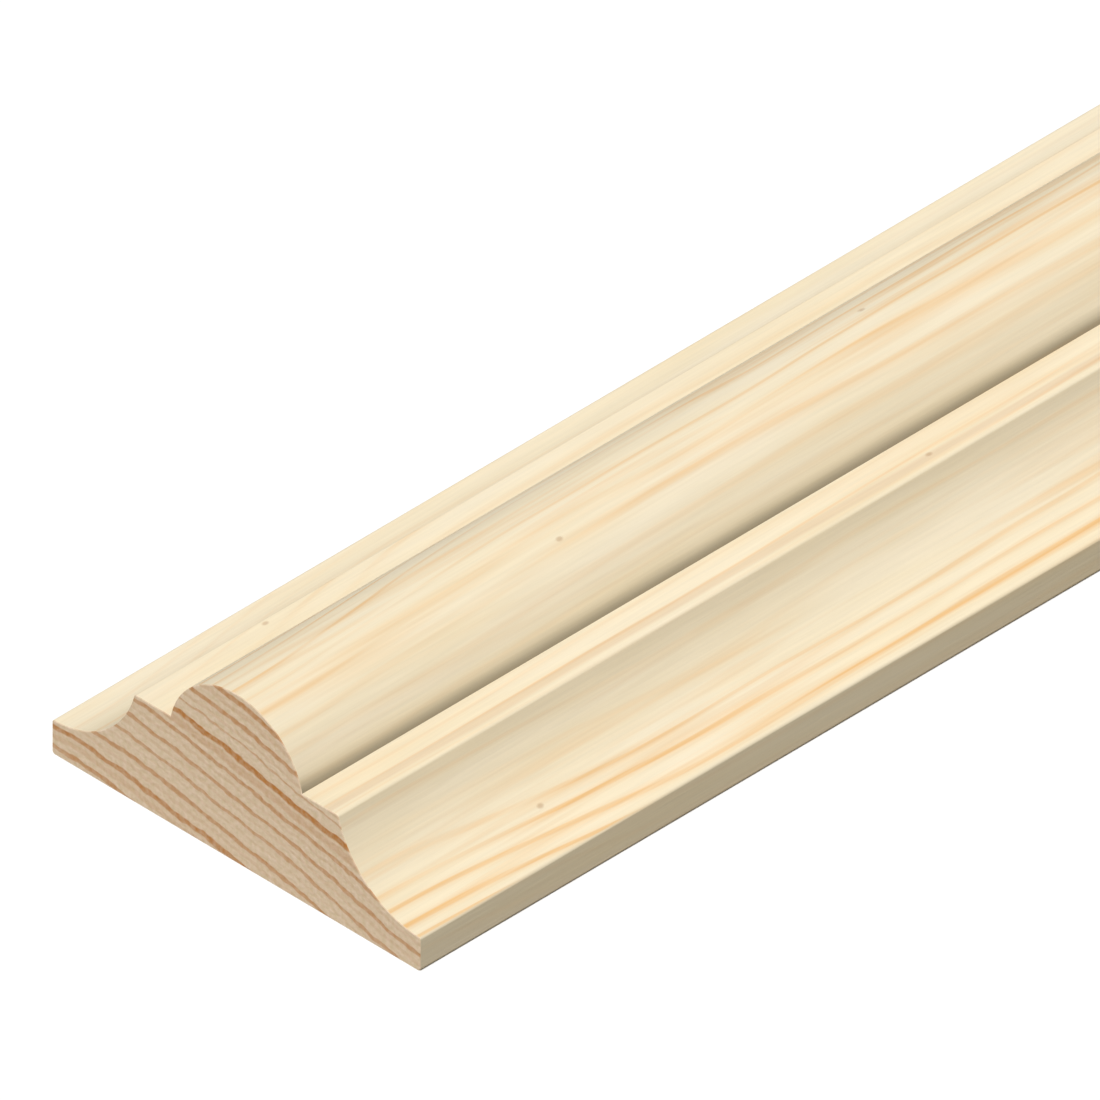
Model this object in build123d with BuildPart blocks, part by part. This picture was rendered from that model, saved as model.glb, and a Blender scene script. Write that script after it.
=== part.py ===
from build123d import *
import math
import os

# Double astragal moulding: one solid softwood strip, planed to the same section along its whole length.
# The section is symmetric: a half-round bead down the middle stands proud of two narrow flats,
# and outside each flat a concave cove sweeps down and out to a thin edge. The back is flat.
# The strip lies on its back. X is its width, Y its length and Z its thickness.
# The origin is in the middle of the back.

# Driving dimensions, in millimetres
stock_length = 2400.0
stock_width = 20.0
stock_thickness = 8.0  # from the flat back to the crown of the bead
bead_radius = 3.65
flat_height = 5.1  # from the back to the flats beside the bead
flat_width = 1.96  # from the foot of the bead to the crest of the cove
edge_thickness = 1.6  # left under the cove at each long edge
back_arris_radius = 0.15  # the faint easing that the two corners of the back get
edge_arris_radius = 0.15  # where the cove runs out to the edge
crest_arris_radius = 0.12  # where the flat turns over into the cove

# Places in the section that follow from them
half_width = stock_width / 2
bead_centre_height = stock_thickness - bead_radius
bead_foot_angle = math.degrees(math.asin((flat_height - bead_centre_height) / bead_radius))
bead_half_width = bead_radius * math.cos(math.radians(bead_foot_angle))
crest_distance = bead_half_width + flat_width

with BuildPart() as moulding:
    with BuildSketch(Plane.XZ) as section:
        with BuildLine() as outline:
            # Right half, from the middle of the back round to the crown of the bead
            back = Line((0, 0), (half_width, 0))
            edge = Line(back @ 1, (half_width, edge_thickness))
            # The cove leaves the edge level with the back and climbs ever steeper to the crest
            cove = TangentArc(edge @ 1, (crest_distance, flat_height), tangent=(-1, 0))
            flat = Line(cove @ 1, (bead_half_width, flat_height))
            bead = CenterArc((0, bead_centre_height), bead_radius, bead_foot_angle, 90 - bead_foot_angle)
            mirror(about=Plane.YZ)
        make_face()

    # The same section runs from one square-sawn end to the other
    extrude(amount=stock_length / 2, both=True)

    # The planed arrises are eased, while the quirks at the feet of the bead stay sharp
    long_edges = moulding.edges().filter_by(Axis.Y).group_by(Axis.Z)
    back_arrises = long_edges[0]
    edge_arrises = long_edges[1]
    flat_edges = long_edges[-1].sort_by(Axis.X)
    fillet(back_arrises, back_arris_radius)
    fillet(edge_arrises, edge_arris_radius)
    fillet([flat_edges[0], flat_edges[-1]], crest_arris_radius)

moulding.part.label = "double_astragal_moulding"

os.makedirs("parts", exist_ok=True)
export_step(moulding.part, "parts/double_astragal_moulding.step")
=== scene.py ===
import math
import bpy
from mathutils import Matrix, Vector


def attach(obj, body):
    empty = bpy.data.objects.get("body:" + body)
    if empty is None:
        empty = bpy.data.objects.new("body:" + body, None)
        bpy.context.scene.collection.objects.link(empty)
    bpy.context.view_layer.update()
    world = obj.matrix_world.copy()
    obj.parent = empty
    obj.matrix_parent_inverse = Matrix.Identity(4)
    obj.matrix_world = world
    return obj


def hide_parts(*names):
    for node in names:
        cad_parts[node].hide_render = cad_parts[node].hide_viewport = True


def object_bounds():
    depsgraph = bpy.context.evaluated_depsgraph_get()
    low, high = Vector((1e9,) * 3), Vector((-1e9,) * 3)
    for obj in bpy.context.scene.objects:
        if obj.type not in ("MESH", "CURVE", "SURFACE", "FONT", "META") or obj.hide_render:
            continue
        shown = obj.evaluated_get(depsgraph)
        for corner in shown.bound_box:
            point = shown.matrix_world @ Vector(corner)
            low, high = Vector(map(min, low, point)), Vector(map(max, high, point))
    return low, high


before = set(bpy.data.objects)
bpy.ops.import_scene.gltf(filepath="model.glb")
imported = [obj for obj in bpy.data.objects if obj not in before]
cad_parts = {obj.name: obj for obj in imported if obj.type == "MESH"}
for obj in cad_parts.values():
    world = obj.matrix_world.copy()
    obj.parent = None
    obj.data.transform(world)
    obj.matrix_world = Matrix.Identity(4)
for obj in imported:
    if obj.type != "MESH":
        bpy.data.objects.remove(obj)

cad_low, cad_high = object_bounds()

# The moulding strip. A length of slow-grown pine, run past shaped planer cutters that leave the bead,
# the flats and the coves in one pass, so every mark on the long faces follows the feed.
# Both ends are cross-cut square with a fine saw, and nothing is fixed to it.
MM = 0.001
NEAR_END, FAR_END = cad_low.y, cad_high.y
HALF_WIDTH = cad_high.x
CROWN_HEIGHT = cad_high.z
BEAD_RADIUS = 3.65 * MM
FLAT_HEIGHT = 5.1 * MM
FLAT_WIDTH = 1.96 * MM
EDGE_THICKNESS = 1.6 * MM
CREST_ARRIS = 0.1 * MM  # the arrises are measured along the faces, from where they would meet
EDGE_ARRIS = 0.13 * MM
BACK_ARRIS = 0.15 * MM
SAWN_RIM = 0.03 * MM
SAME_PLACE = 0.01 * MM  # points that lie nearer than this count as one
BEAD_SIDES = 120  # round the full circle, of which the bead keeps the upper part
COVE_STEPS = 28
ARRIS_STEPS = 4
SPANS = 24  # that the length is divided into

bead_centre = CROWN_HEIGHT - BEAD_RADIUS
foot = math.sqrt(BEAD_RADIUS**2 - (FLAT_HEIGHT - bead_centre) ** 2)
cove_reach = HALF_WIDTH - foot - FLAT_WIDTH
cove_drop = FLAT_HEIGHT - EDGE_THICKNESS
cove_radius = (cove_reach**2 + cove_drop**2) / (2 * cove_drop)
cove_centre = EDGE_THICKNESS + cove_radius
cove_turn = math.atan2(cove_reach, cove_centre - FLAT_HEIGHT)


def select_where(test, kind="verts"):
    """Selects the vertices or faces of the mesh in edit mode whose place or normal passes the test."""
    bpy.ops.mesh.select_mode(type="VERT" if kind == "verts" else "FACE")
    bpy.ops.mesh.select_all(action="DESELECT")
    bpy.ops.object.mode_set(mode="OBJECT")
    mesh = bpy.context.object.data
    for part in mesh.vertices if kind == "verts" else mesh.polygons:
        part.select = test(part)
    bpy.ops.object.mode_set(mode="EDIT")


def at(x, z):
    """A test for the vertices of the section that lie at one place in it."""
    return lambda v: abs(v.co.x - x) < SAME_PLACE and abs(v.co.z - z) < SAME_PLACE


def sawn(face):
    """Whether a face belongs to a sawn end or its rim."""
    return abs(face.normal.y) > 0.5


bpy.ops.object.select_all(action="DESELECT")
bpy.ops.mesh.primitive_circle_add(
    vertices=BEAD_SIDES,
    radius=BEAD_RADIUS,
    location=(0, 0, bead_centre),
    rotation=(math.radians(90), 0, 0),
)
strip = bpy.context.object
strip.name = "planed_moulding_strip"
bpy.ops.object.transform_apply(location=True, rotation=True, scale=True)
bpy.ops.object.mode_set(mode="EDIT")

# The bead's circle is cut off at the flats, then each side is drawn outwards and down to the back
bpy.ops.mesh.select_all(action="SELECT")
bpy.ops.mesh.bisect(plane_co=(0, 0, FLAT_HEIGHT), plane_no=(0, 0, 1), clear_inner=True)
for side in (1, -1):
    select_where(at(side * foot, FLAT_HEIGHT))
    bpy.ops.mesh.extrude_vertices_move(
        TRANSFORM_OT_translate={"value": (side * FLAT_WIDTH, 0, 0)}
    )
    bpy.ops.mesh.spin(
        steps=COVE_STEPS,
        angle=side * cove_turn,
        center=(side * HALF_WIDTH, 0, cove_centre),
        axis=(0, 1, 0),
    )
    bpy.ops.mesh.extrude_vertices_move(
        TRANSFORM_OT_translate={"value": (0, 0, -EDGE_THICKNESS)}
    )

# The back closes the outline, which then gets its face
select_where(lambda v: abs(v.co.z) < SAME_PLACE)
bpy.ops.mesh.edge_face_add()
bpy.ops.mesh.select_all(action="SELECT")
bpy.ops.mesh.remove_doubles(threshold=SAME_PLACE / 10)
bpy.ops.mesh.edge_face_add()

# The arrises are eased, while the quirks at the feet of the bead stay sharp
for x, z, easing in (
    (HALF_WIDTH, 0, BACK_ARRIS),
    (HALF_WIDTH, EDGE_THICKNESS, EDGE_ARRIS),
    (foot + FLAT_WIDTH, FLAT_HEIGHT, CREST_ARRIS),
):
    select_where(lambda v: abs(abs(v.co.x) - x) < SAME_PLACE and abs(v.co.z - z) < SAME_PLACE)
    bpy.ops.mesh.bevel(
        affect="VERTICES", offset=easing, segments=ARRIS_STEPS, clamp_overlap=False
    )

# The section is moved to the near end and runs the whole length
bpy.ops.mesh.select_all(action="SELECT")
bpy.ops.transform.translate(value=(0, NEAR_END, 0))
span = (FAR_END - NEAR_END) / SPANS
for _ in range(SPANS):
    bpy.ops.mesh.extrude_region_move(TRANSFORM_OT_translate={"value": (0, span, 0)})
bpy.ops.mesh.select_all(action="SELECT")
bpy.ops.mesh.normals_make_consistent(inside=False)

# The rim of each sawn end is faintly rubbed
select_where(sawn, "faces")
bpy.ops.mesh.region_to_loop()
bpy.ops.mesh.bevel(offset=SAWN_RIM, segments=1, clamp_overlap=False)
bpy.ops.object.mode_set(mode="OBJECT")


def linear(hex_colour):
    """An sRGB hex colour as the linear numbers that a shader takes."""
    parts = [int(hex_colour[i : i + 2], 16) / 255 for i in (1, 3, 5)]
    return [c / 12.92 if c <= 0.04045 else ((c + 0.055) / 1.055) ** 2.4 for c in parts] + [1]


def add(tree, kind, inputs=None, **settings):
    """Adds a node with its settings and links. An input is named or numbered, and is given
    a value, or the socket or node that it reads."""
    node = tree.nodes.new(kind)
    for name, value in settings.items():
        setattr(node, name, value)
    for name, value in (inputs or {}).items():
        named = (s for s in node.inputs if s.enabled and s.name == name)
        socket = next(named) if isinstance(name, str) else node.inputs[name]
        if isinstance(value, bpy.types.Node):
            value = next(s for s in value.outputs if s.enabled)
        if isinstance(value, bpy.types.NodeSocket):
            tree.links.new(value, socket)
        else:
            socket.default_value = value
    return node


def blank_material(name):
    """A new material with an empty node tree, and that tree."""
    material = bpy.data.materials.new(name)
    material.use_nodes = True
    material.node_tree.nodes.clear()
    return material, material.node_tree


def wood_place(tree):
    """Place in the wood in mm, counted along the strip from the near end, and the way the face looks."""
    coords = add(tree, "ShaderNodeTexCoord")
    inputs = {0: coords.outputs["Object"], 1: (0, NEAR_END, 0)}
    place = add(tree, "ShaderNodeVectorMath", inputs, operation="SUBTRACT")
    mm = add(tree, "ShaderNodeVectorMath", {0: place, "Scale": 1 / MM}, operation="SCALE")
    return mm, coords.outputs["Normal"]


def unevenness(tree, mm, across, along, low=0.0, high=1.0, detail=2.0):
    """How uneven the wood is, from low to high, in patches of a size in mm across and along the fibres."""
    stretch = (1 / across, 1 / along, 1 / across)
    place = add(tree, "ShaderNodeVectorMath", {0: mm, 1: stretch}, operation="MULTIPLY")
    noise = add(tree, "ShaderNodeTexNoise", {"Vector": place, "Scale": 1.0, "Detail": detail})
    # Most of the noise lies between 0.3 and 0.7
    limits = {"Value": noise, "From Min": 0.3, "From Max": 0.7, "To Min": low, "To Max": high}
    return add(tree, "ShaderNodeMapRange", limits)


def wavered(tree, mm, number, waves):
    """The line number with waves added: their size in mm across and along, and their swing in lines."""
    for across, along, swing in waves:
        wave = unevenness(tree, mm, across, along, low=-swing, high=swing, detail=0.0)
        number = add(tree, "ShaderNodeMath", {0: number, 1: wave}, operation="ADD")
    return number


YEARS = 2988  # picks how bold each year's line is


def latewood(tree, number, spacing, faintest, profile):
    """Share of latewood, with a line at each whole number and the lines spaced by some mm.
    The profile gives mm from the line and the share there, and a faint line is also thinner."""
    year = add(tree, "ShaderNodeMath", {0: number}, operation="ROUND")
    seed = add(tree, "ShaderNodeMath", {0: year, 1: YEARS}, operation="ADD")
    bold = add(tree, "ShaderNodeTexWhiteNoise", {"W": seed}, noise_dimensions="1D").outputs["Value"]
    bold = add(tree, "ShaderNodeMapRange", {"Value": bold, "To Min": faintest})
    gap = add(tree, "ShaderNodeMath", {0: number, 1: year}, operation="SUBTRACT")
    gap = add(tree, "ShaderNodeMath", {0: gap, 1: spacing}, operation="MULTIPLY")
    gap = add(tree, "ShaderNodeMath", {0: gap, 1: bold}, operation="DIVIDE")
    reach = 1.2 * max(abs(distance) for distance, share in profile)
    gap = add(tree, "ShaderNodeMapRange", {"Value": gap, "From Min": -reach, "From Max": reach})
    curve = add(tree, "ShaderNodeValToRGB", {0: gap})
    curve.color_ramp.interpolation = "EASE"
    stops = curve.color_ramp.elements
    stops[-1].color = stops[0].color
    for distance, share in profile:
        stops.new(0.5 + distance / reach / 2).color = (share, share, share, 1)
    return add(tree, "ShaderNodeMath", {0: curve, 1: bold}, operation="MULTIPLY")


# The planed faces show a line wherever the cut meets one of the tree's latewood shells
LINES_LEFT, LINES_UP, LINES_ALONG = 0.9, 0.7, 0.004  # crossed in a millimetre each way
MIDDLE_LINE = 935.65  # number of the line in the middle of the back
GRAIN_WAVES = ((5.0, 120.0, 0.6), (2.0, 30.0, 0.22), (1.1, 8.0, 0.08))  # mm across, mm along, lines
FACE_LINE = ((-0.5, 0.04), (-0.24, 0.3), (-0.08, 0.9), (0.06, 0.85), (0.2, 0.15), (0.4, 0))  # mm, share
DRAWN_TO = 4.0  # mm right of the middle, where the lines draw together
DRAWN_LENGTH, DRAWN_SHARE = 18.0, 0.3  # mm from the near end, and how much closer the lines get there
LEAST_SLANT = 0.25  # sine of the least angle between shell and face that sets a line's width
LONG_STREAK, STREAK_WAVER = 5.0, 0.1  # mm right of the middle, and mm that it wavers by
SPECKS_ACROSS, SPECKS_ALONG = 9.0, 14.0  # mm from speck to speck
SPECK_CORE, SPECK_RIM = 0.006, 0.015  # share of that distance, so that a speck is about 0.2 mm wide
QUIRK_REACH, QUIRK_SHADE = 0.9, 0.8  # mm up the bead's flank, and how much darker the painted shade makes it at its foot
# Share of resin in the latewood by the place in mm across the strip
RESIN = (
    (-HALF_WIDTH / MM, 0.12), (-8.4, 0.2), (-7.2, 0.6), (-5.8, 0.6), (-5.2, 0.2), (-3.8, 0.2), (-3.2, 1.0),
    (-0.8, 1.0), (1.2, 0.55), (2.4, 0.3), (4.0, 0.2), (4.9, 0.9), (5.4, 0.35), (6.4, 0.35), (7.2, 0.9),
    (9.8, 0.95), (HALF_WIDTH / MM, 0.1),
)


def planed_pine():
    """Planed long grain of dry, unfinished pine: pale earlywood, with soft orange streaks
    where the cut runs along a latewood shell."""
    material, tree = blank_material("planed_pine_long_grain")
    mm, facing = wood_place(tree)
    x, y, z = add(tree, "ShaderNodeSeparateXYZ", {0: mm}).outputs
    # The shells lean to the left, and draw together a little towards the near end
    shells = Vector((-LINES_LEFT, LINES_ALONG, LINES_UP))
    number = add(tree, "ShaderNodeVectorMath", {0: mm, 1: shells}, operation="DOT_PRODUCT").outputs["Value"]
    aside = add(tree, "ShaderNodeMath", {0: x, 1: DRAWN_TO}, operation="SUBTRACT")
    limits = {"Value": y, "From Max": DRAWN_LENGTH, "To Min": -DRAWN_SHARE * LINES_LEFT, "To Max": 0.0}
    drawn = add(tree, "ShaderNodeMapRange", limits, interpolation_type="SMOOTHSTEP")
    number = add(tree, "ShaderNodeMath", {0: aside, 1: drawn, 2: number}, operation="MULTIPLY_ADD")
    number = add(tree, "ShaderNodeMath", {0: number, 1: MIDDLE_LINE}, operation="ADD")
    number = wavered(tree, mm, number, GRAIN_WAVES)
    # A shell that only grazes the face is kept from spreading into a wide patch
    slant = {0: shells.normalized(), 1: facing}
    slant = add(tree, "ShaderNodeVectorMath", slant, operation="CROSS_PRODUCT")
    slant = add(tree, "ShaderNodeVectorMath", {0: slant}, operation="LENGTH").outputs["Value"]
    slant = add(tree, "ShaderNodeMath", {0: slant, 1: LEAST_SLANT}, operation="MAXIMUM")
    spacing = add(tree, "ShaderNodeMath", {0: 1 / shells.length, 1: slant}, operation="DIVIDE")
    # Each year leaves a thin line with a faint glow before it. The lines come and go in wisps,
    # soft patches lie between them, and only part of the wood is rich in resin
    line = latewood(tree, number, spacing, faintest=0.35, profile=FACE_LINE)
    wisp = unevenness(tree, mm, across=0.5, along=24.0, low=0.35, high=1.5)
    late = add(tree, "ShaderNodeMath", {0: line, 1: wisp}, operation="MULTIPLY")
    patch = unevenness(tree, mm, across=0.6, along=18.0, low=-0.5, high=0.55)
    patch = add(tree, "ShaderNodeMath", {0: patch, 1: 0.0}, operation="MAXIMUM")
    late = add(tree, "ShaderNodeMath", {0: late, 1: patch}, operation="ADD")
    left, right = RESIN[0][0], RESIN[-1][0]
    limits = {"Value": x, "From Min": left, "From Max": right}
    resin = add(tree, "ShaderNodeValToRGB", {0: add(tree, "ShaderNodeMapRange", limits)})
    for place, share in RESIN:
        stop = resin.color_ramp.elements.new((place - left) / (right - left))
        stop.color = (share, share, share, 1)
    late = add(tree, "ShaderNodeMath", {0: late, 1: resin}, operation="MULTIPLY", use_clamp=True)
    tone = unevenness(tree, mm, across=1.2, along=14.0, detail=4.0)
    ends = {"A": linear("#F8E8C6"), "B": linear("#FBEED2"), "Factor": tone}
    earlywood = add(tree, "ShaderNodeMix", ends, data_type="RGBA")
    ends = {"A": earlywood, "B": linear("#F3C68A"), "Factor": late}
    colour = add(tree, "ShaderNodeMix", ends, data_type="RGBA")
    # One long faint streak runs near the outer arris of the right-hand flat
    limits = {"low": LONG_STREAK + STREAK_WAVER, "high": LONG_STREAK - STREAK_WAVER}
    middle = unevenness(tree, mm, across=2.0, along=25.0, **limits)
    aside = add(tree, "ShaderNodeMath", {0: x, 1: middle}, operation="SUBTRACT")
    aside = add(tree, "ShaderNodeMath", {0: aside}, operation="ABSOLUTE")
    limits = {"Value": aside, "From Min": 0.3, "From Max": 0.08, "To Max": 0.45}
    streak = add(tree, "ShaderNodeMapRange", limits, interpolation_type="SMOOTHSTEP")
    ends = {"A": colour, "B": linear("#E3C29C"), "Factor": streak}
    colour = add(tree, "ShaderNodeMix", ends, data_type="RGBA")
    # A small dark speck shows here and there
    cells = (1 / SPECKS_ACROSS, 1 / SPECKS_ALONG, 0)
    plan = add(tree, "ShaderNodeVectorMath", {0: mm, 1: cells}, operation="MULTIPLY")
    speck = add(tree, "ShaderNodeTexVoronoi", {"Vector": plan, "Scale": 1.0}, voronoi_dimensions="2D")
    distance = speck.outputs["Distance"]
    limits = {"Value": distance, "From Min": SPECK_RIM, "From Max": SPECK_CORE, "To Max": 0.45}
    speck = add(tree, "ShaderNodeMapRange", limits)
    ends = {"A": colour, "B": linear("#B98F63"), "Factor": speck}
    colour = add(tree, "ShaderNodeMix", ends, data_type="RGBA")
    # Painted shade: the steep foot of the bead is darkened towards the quirk, the more the steeper the
    # face, in place of the shade that falls there
    out = add(tree, "ShaderNodeMath", {0: x}, operation="ABSOLUTE")
    section = add(tree, "ShaderNodeCombineXYZ", {0: out, 2: z})
    quirk = (foot / MM, 0, FLAT_HEIGHT / MM)
    near = add(tree, "ShaderNodeVectorMath", {0: section, 1: quirk}, operation="DISTANCE").outputs["Value"]
    limits = {"Value": near, "From Min": QUIRK_REACH, "From Max": 0.0}
    near = add(tree, "ShaderNodeMapRange", limits, interpolation_type="SMOOTHSTEP")
    level = add(tree, "ShaderNodeSeparateXYZ", {0: facing}).outputs["Z"]
    steep = add(tree, "ShaderNodeMath", {0: 1.0, 1: level}, operation="SUBTRACT")
    quirk_shade_mask = add(tree, "ShaderNodeMath", {0: near, 1: steep}, operation="MULTIPLY")
    quirk_shade_factor = add(tree, "ShaderNodeMath", {0: quirk_shade_mask, 1: -QUIRK_SHADE, 2: 1.0}, operation="MULTIPLY_ADD")
    # Fibres are about 0.03 mm thick, so they are drawn in bundles that are just coarse enough to show
    fibre = unevenness(tree, mm, across=0.13, along=4.0, low=0.965, high=1.02)
    # The painted shade at the quirk is multiplied into the colour here, together with the fibre bundles
    shade = add(tree, "ShaderNodeMath", {0: fibre, 1: quirk_shade_factor}, operation="MULTIPLY")
    colour = add(tree, "ShaderNodeVectorMath", {0: colour, "Scale": shade}, operation="SCALE")
    # The cutters leave the fibres faintly raised, and the hard latewood smoother than the soft wood
    rough = add(tree, "ShaderNodeMapRange", {"Value": late, "To Min": 0.65, "To Max": 0.5})
    raised = add(tree, "ShaderNodeBump", {"Height": fibre, "Distance": 0.06 * MM})
    inputs = {"Base Color": colour, "Roughness": rough, "Normal": raised, "Specular IOR Level": 0.25}
    surface = add(tree, "ShaderNodeBsdfPrincipled", inputs)
    add(tree, "ShaderNodeOutputMaterial", {"Surface": surface})
    return material


# The sawn ends show the tree's rings
PITH_X, PITH_Z = -19.3, -104.0  # mm, the heart of the tree as it lies to the near end
RING_RADIUS = 110.74  # mm, from the pith to the boldest ring on the near end
RING_WIDTH = 0.985  # mm
NARROW_RINGS, EXTRA_RINGS = 1.3, 0.5  # just outside the boldest ring they lie closer, so that more fit in
RING_WAVES = ((5.0, 60.0, 0.12), (1.3, 60.0, 0.05), (0.4, 60.0, 0.03))  # mm across, mm along, rings
END_LINE = ((-0.6, 0), (-0.2, 0.14), (-0.1, 0.9), (0.1, 1), (0.2, 0.08), (0.6, 0))  # mm, share
FALSE_LINE = ((-0.3, 0), (-0.12, 0.4), (0.1, 0.35), (0.25, 0))  # mm, share


def sawn_end_grain():
    """Cross-cut end grain of pine: darker than the faces, with each latewood line crisp and brown."""
    material, tree = blank_material("sawn_pine_end_grain")
    mm, facing = wood_place(tree)
    # The rings are arcs round the pith
    in_section = add(tree, "ShaderNodeVectorMath", {0: mm, 1: (1, 0, 1)}, operation="MULTIPLY")
    spoke = {0: in_section, 1: (PITH_X, 0, PITH_Z)}
    radius = add(tree, "ShaderNodeVectorMath", spoke, operation="DISTANCE").outputs["Value"]
    offset = add(tree, "ShaderNodeMath", {0: radius, 1: RING_RADIUS}, operation="SUBTRACT")
    number = add(tree, "ShaderNodeMath", {0: offset, 1: RING_WIDTH}, operation="DIVIDE")
    number = wavered(tree, mm, number, RING_WAVES)
    limits = {"Value": number, "From Max": NARROW_RINGS, "To Max": EXTRA_RINGS}
    narrow = add(tree, "ShaderNodeMapRange", limits, interpolation_type="SMOOTHSTEP")
    number = add(tree, "ShaderNodeMath", {0: number, 1: narrow}, operation="ADD")
    line = latewood(tree, number, RING_WIDTH, faintest=0.45, profile=END_LINE)
    # A faint false ring lies between some of the years
    between = add(tree, "ShaderNodeMath", {0: number, 1: 0.45}, operation="ADD")
    faint = latewood(tree, between, RING_WIDTH, faintest=0.0, profile=FALSE_LINE)
    line = add(tree, "ShaderNodeMath", {0: line, 1: faint}, operation="MAXIMUM")
    wisp = unevenness(tree, mm, across=0.25, along=0.25, low=0.7, high=1.15)
    line = add(tree, "ShaderNodeMath", {0: line, 1: wisp}, operation="MULTIPLY", use_clamp=True)
    # The nap of cut fibres is drawn coarser than it is, so that it shows
    nap = unevenness(tree, mm, across=0.22, along=0.22, detail=3.0)
    ends = {"A": linear("#D6C2A1"), "B": linear("#E7D1BA"), "Factor": nap}
    earlywood = add(tree, "ShaderNodeMix", ends, data_type="RGBA")
    ends = {"A": earlywood, "B": linear("#B67A3E"), "Factor": line}
    colour = add(tree, "ShaderNodeMix", ends, data_type="RGBA")
    # The saw tears the soft wood and leaves the latewood smoother
    rough = add(tree, "ShaderNodeMapRange", {"Value": line, "To Min": 0.85, "To Max": 0.7})
    torn = add(tree, "ShaderNodeBump", {"Height": nap, "Distance": 0.012 * MM})
    inputs = {"Base Color": colour, "Roughness": rough, "Normal": torn, "Specular IOR Level": 0.25}
    surface = add(tree, "ShaderNodeBsdfPrincipled", inputs)
    add(tree, "ShaderNodeOutputMaterial", {"Surface": surface})
    return material


strip.data.materials.append(planed_pine())
strip.data.materials.append(sawn_end_grain())
bpy.ops.object.mode_set(mode="EDIT")
select_where(sawn, "faces")
strip.active_material_index = 1
bpy.ops.object.material_slot_assign()
bpy.ops.object.mode_set(mode="OBJECT")
bpy.ops.object.shade_smooth_by_angle(angle=math.radians(30))
bpy.ops.object.modifier_add(type="WEIGHTED_NORMAL")
strip.modifiers[-1].keep_sharp = True
bpy.ops.object.modifier_apply(modifier=strip.modifiers[-1].name)
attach(strip, "root")
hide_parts("double_astragal_moulding")

# The floor. A smooth pale sheet that the strip lies on. The camera sees it white,
# and the light that it throws back on the wood is kept low.
FLOOR_SIDE = 12.0
FLOOR_BOUNCE = "#7C735D"  # what it throws back is warm, as from boards
FLOOR_GLOW = 0.06  # lifts its white where the light falls short
bpy.ops.mesh.primitive_plane_add(size=FLOOR_SIDE, location=(0, 0, 0))
floor = bpy.context.object
floor.name = "floor"
floor_paint, tree = blank_material("pale_floor")
path = add(tree, "ShaderNodeLightPath")
inputs = {0: path.outputs["Is Camera Ray"], 1: path.outputs["Is Glossy Ray"]}
seen = add(tree, "ShaderNodeMath", inputs, operation="ADD", use_clamp=True)
dull = add(tree, "ShaderNodeBsdfDiffuse", {"Color": linear(FLOOR_BOUNCE)})
white = add(tree, "ShaderNodeBsdfDiffuse", {"Color": linear("#FFFFFF")})
glow = add(tree, "ShaderNodeEmission", {"Strength": FLOOR_GLOW})
lit = add(tree, "ShaderNodeAddShader", {0: white, 1: glow})
mixed = add(tree, "ShaderNodeMixShader", {0: seen, 1: dull, 2: lit})
add(tree, "ShaderNodeOutputMaterial", {"Surface": mixed})
floor.data.materials.append(floor_paint)

# The light. One soft lamp high on the near side, a little towards the right, a broad weak one
# on the far left, and a dim even sky.
KEY_FROM, KEY_POWER, KEY_WIDTH = Vector((0.25, -0.60, 0.76)), math.pi * 1.08, math.radians(15)
FILL_FROM, FILL_POWER, FILL_WIDTH = Vector((-0.8, 0.25, 0.545)), math.pi * 0.09, math.radians(60)
LAMP_DISTANCE = 3.0
SKY_POWER = 0.12
for name, source, power, width in (
    ("key_light", KEY_FROM, KEY_POWER, KEY_WIDTH),
    ("fill_light", FILL_FROM, FILL_POWER, FILL_WIDTH),
):
    bpy.ops.object.light_add(type="SUN", location=source * LAMP_DISTANCE)
    lamp = bpy.context.object
    lamp.name = name
    lamp.data.energy = power
    lamp.data.angle = width
    lamp.rotation_euler = source.to_track_quat("Z", "Y").to_euler()
sky = bpy.data.worlds.new("even_sky")
bpy.context.scene.world = sky
sky.use_nodes = True
sky.node_tree.nodes["Background"].inputs["Color"].default_value = linear("#FFFFFF")
sky.node_tree.nodes["Background"].inputs["Strength"].default_value = SKY_POWER

# The camera. It looks down on the near end from the front right, without perspective,
# as from far away through a very long lens.
AZIMUTH, ELEVATION = math.radians(45.15), math.radians(36.27)
FRAME_SIDE = 42.149 * MM
CENTRE_RIGHT, CENTRE_UP = 19.082 * MM, 7.778 * MM  # of the frame, from the near end's left bottom corner
CAMERA_DISTANCE = 3.0
right = Vector((math.cos(AZIMUTH), math.sin(AZIMUTH), 0))
back = Vector(
    (
        math.sin(AZIMUTH) * math.cos(ELEVATION),
        -math.cos(AZIMUTH) * math.cos(ELEVATION),
        math.sin(ELEVATION),
    )
)
up = back.cross(right)
corner = Vector((-HALF_WIDTH, NEAR_END, 0))
aim = corner + CENTRE_RIGHT * right + CENTRE_UP * up
bpy.ops.object.camera_add(location=aim + CAMERA_DISTANCE * back)
camera = bpy.context.object
camera.name = "camera"
camera.rotation_euler = back.to_track_quat("Z", "Y").to_euler()
camera.data.type = "ORTHO"
camera.data.ortho_scale = FRAME_SIDE
bpy.context.scene.camera = camera
bpy.context.scene.view_settings.view_transform = "Standard"
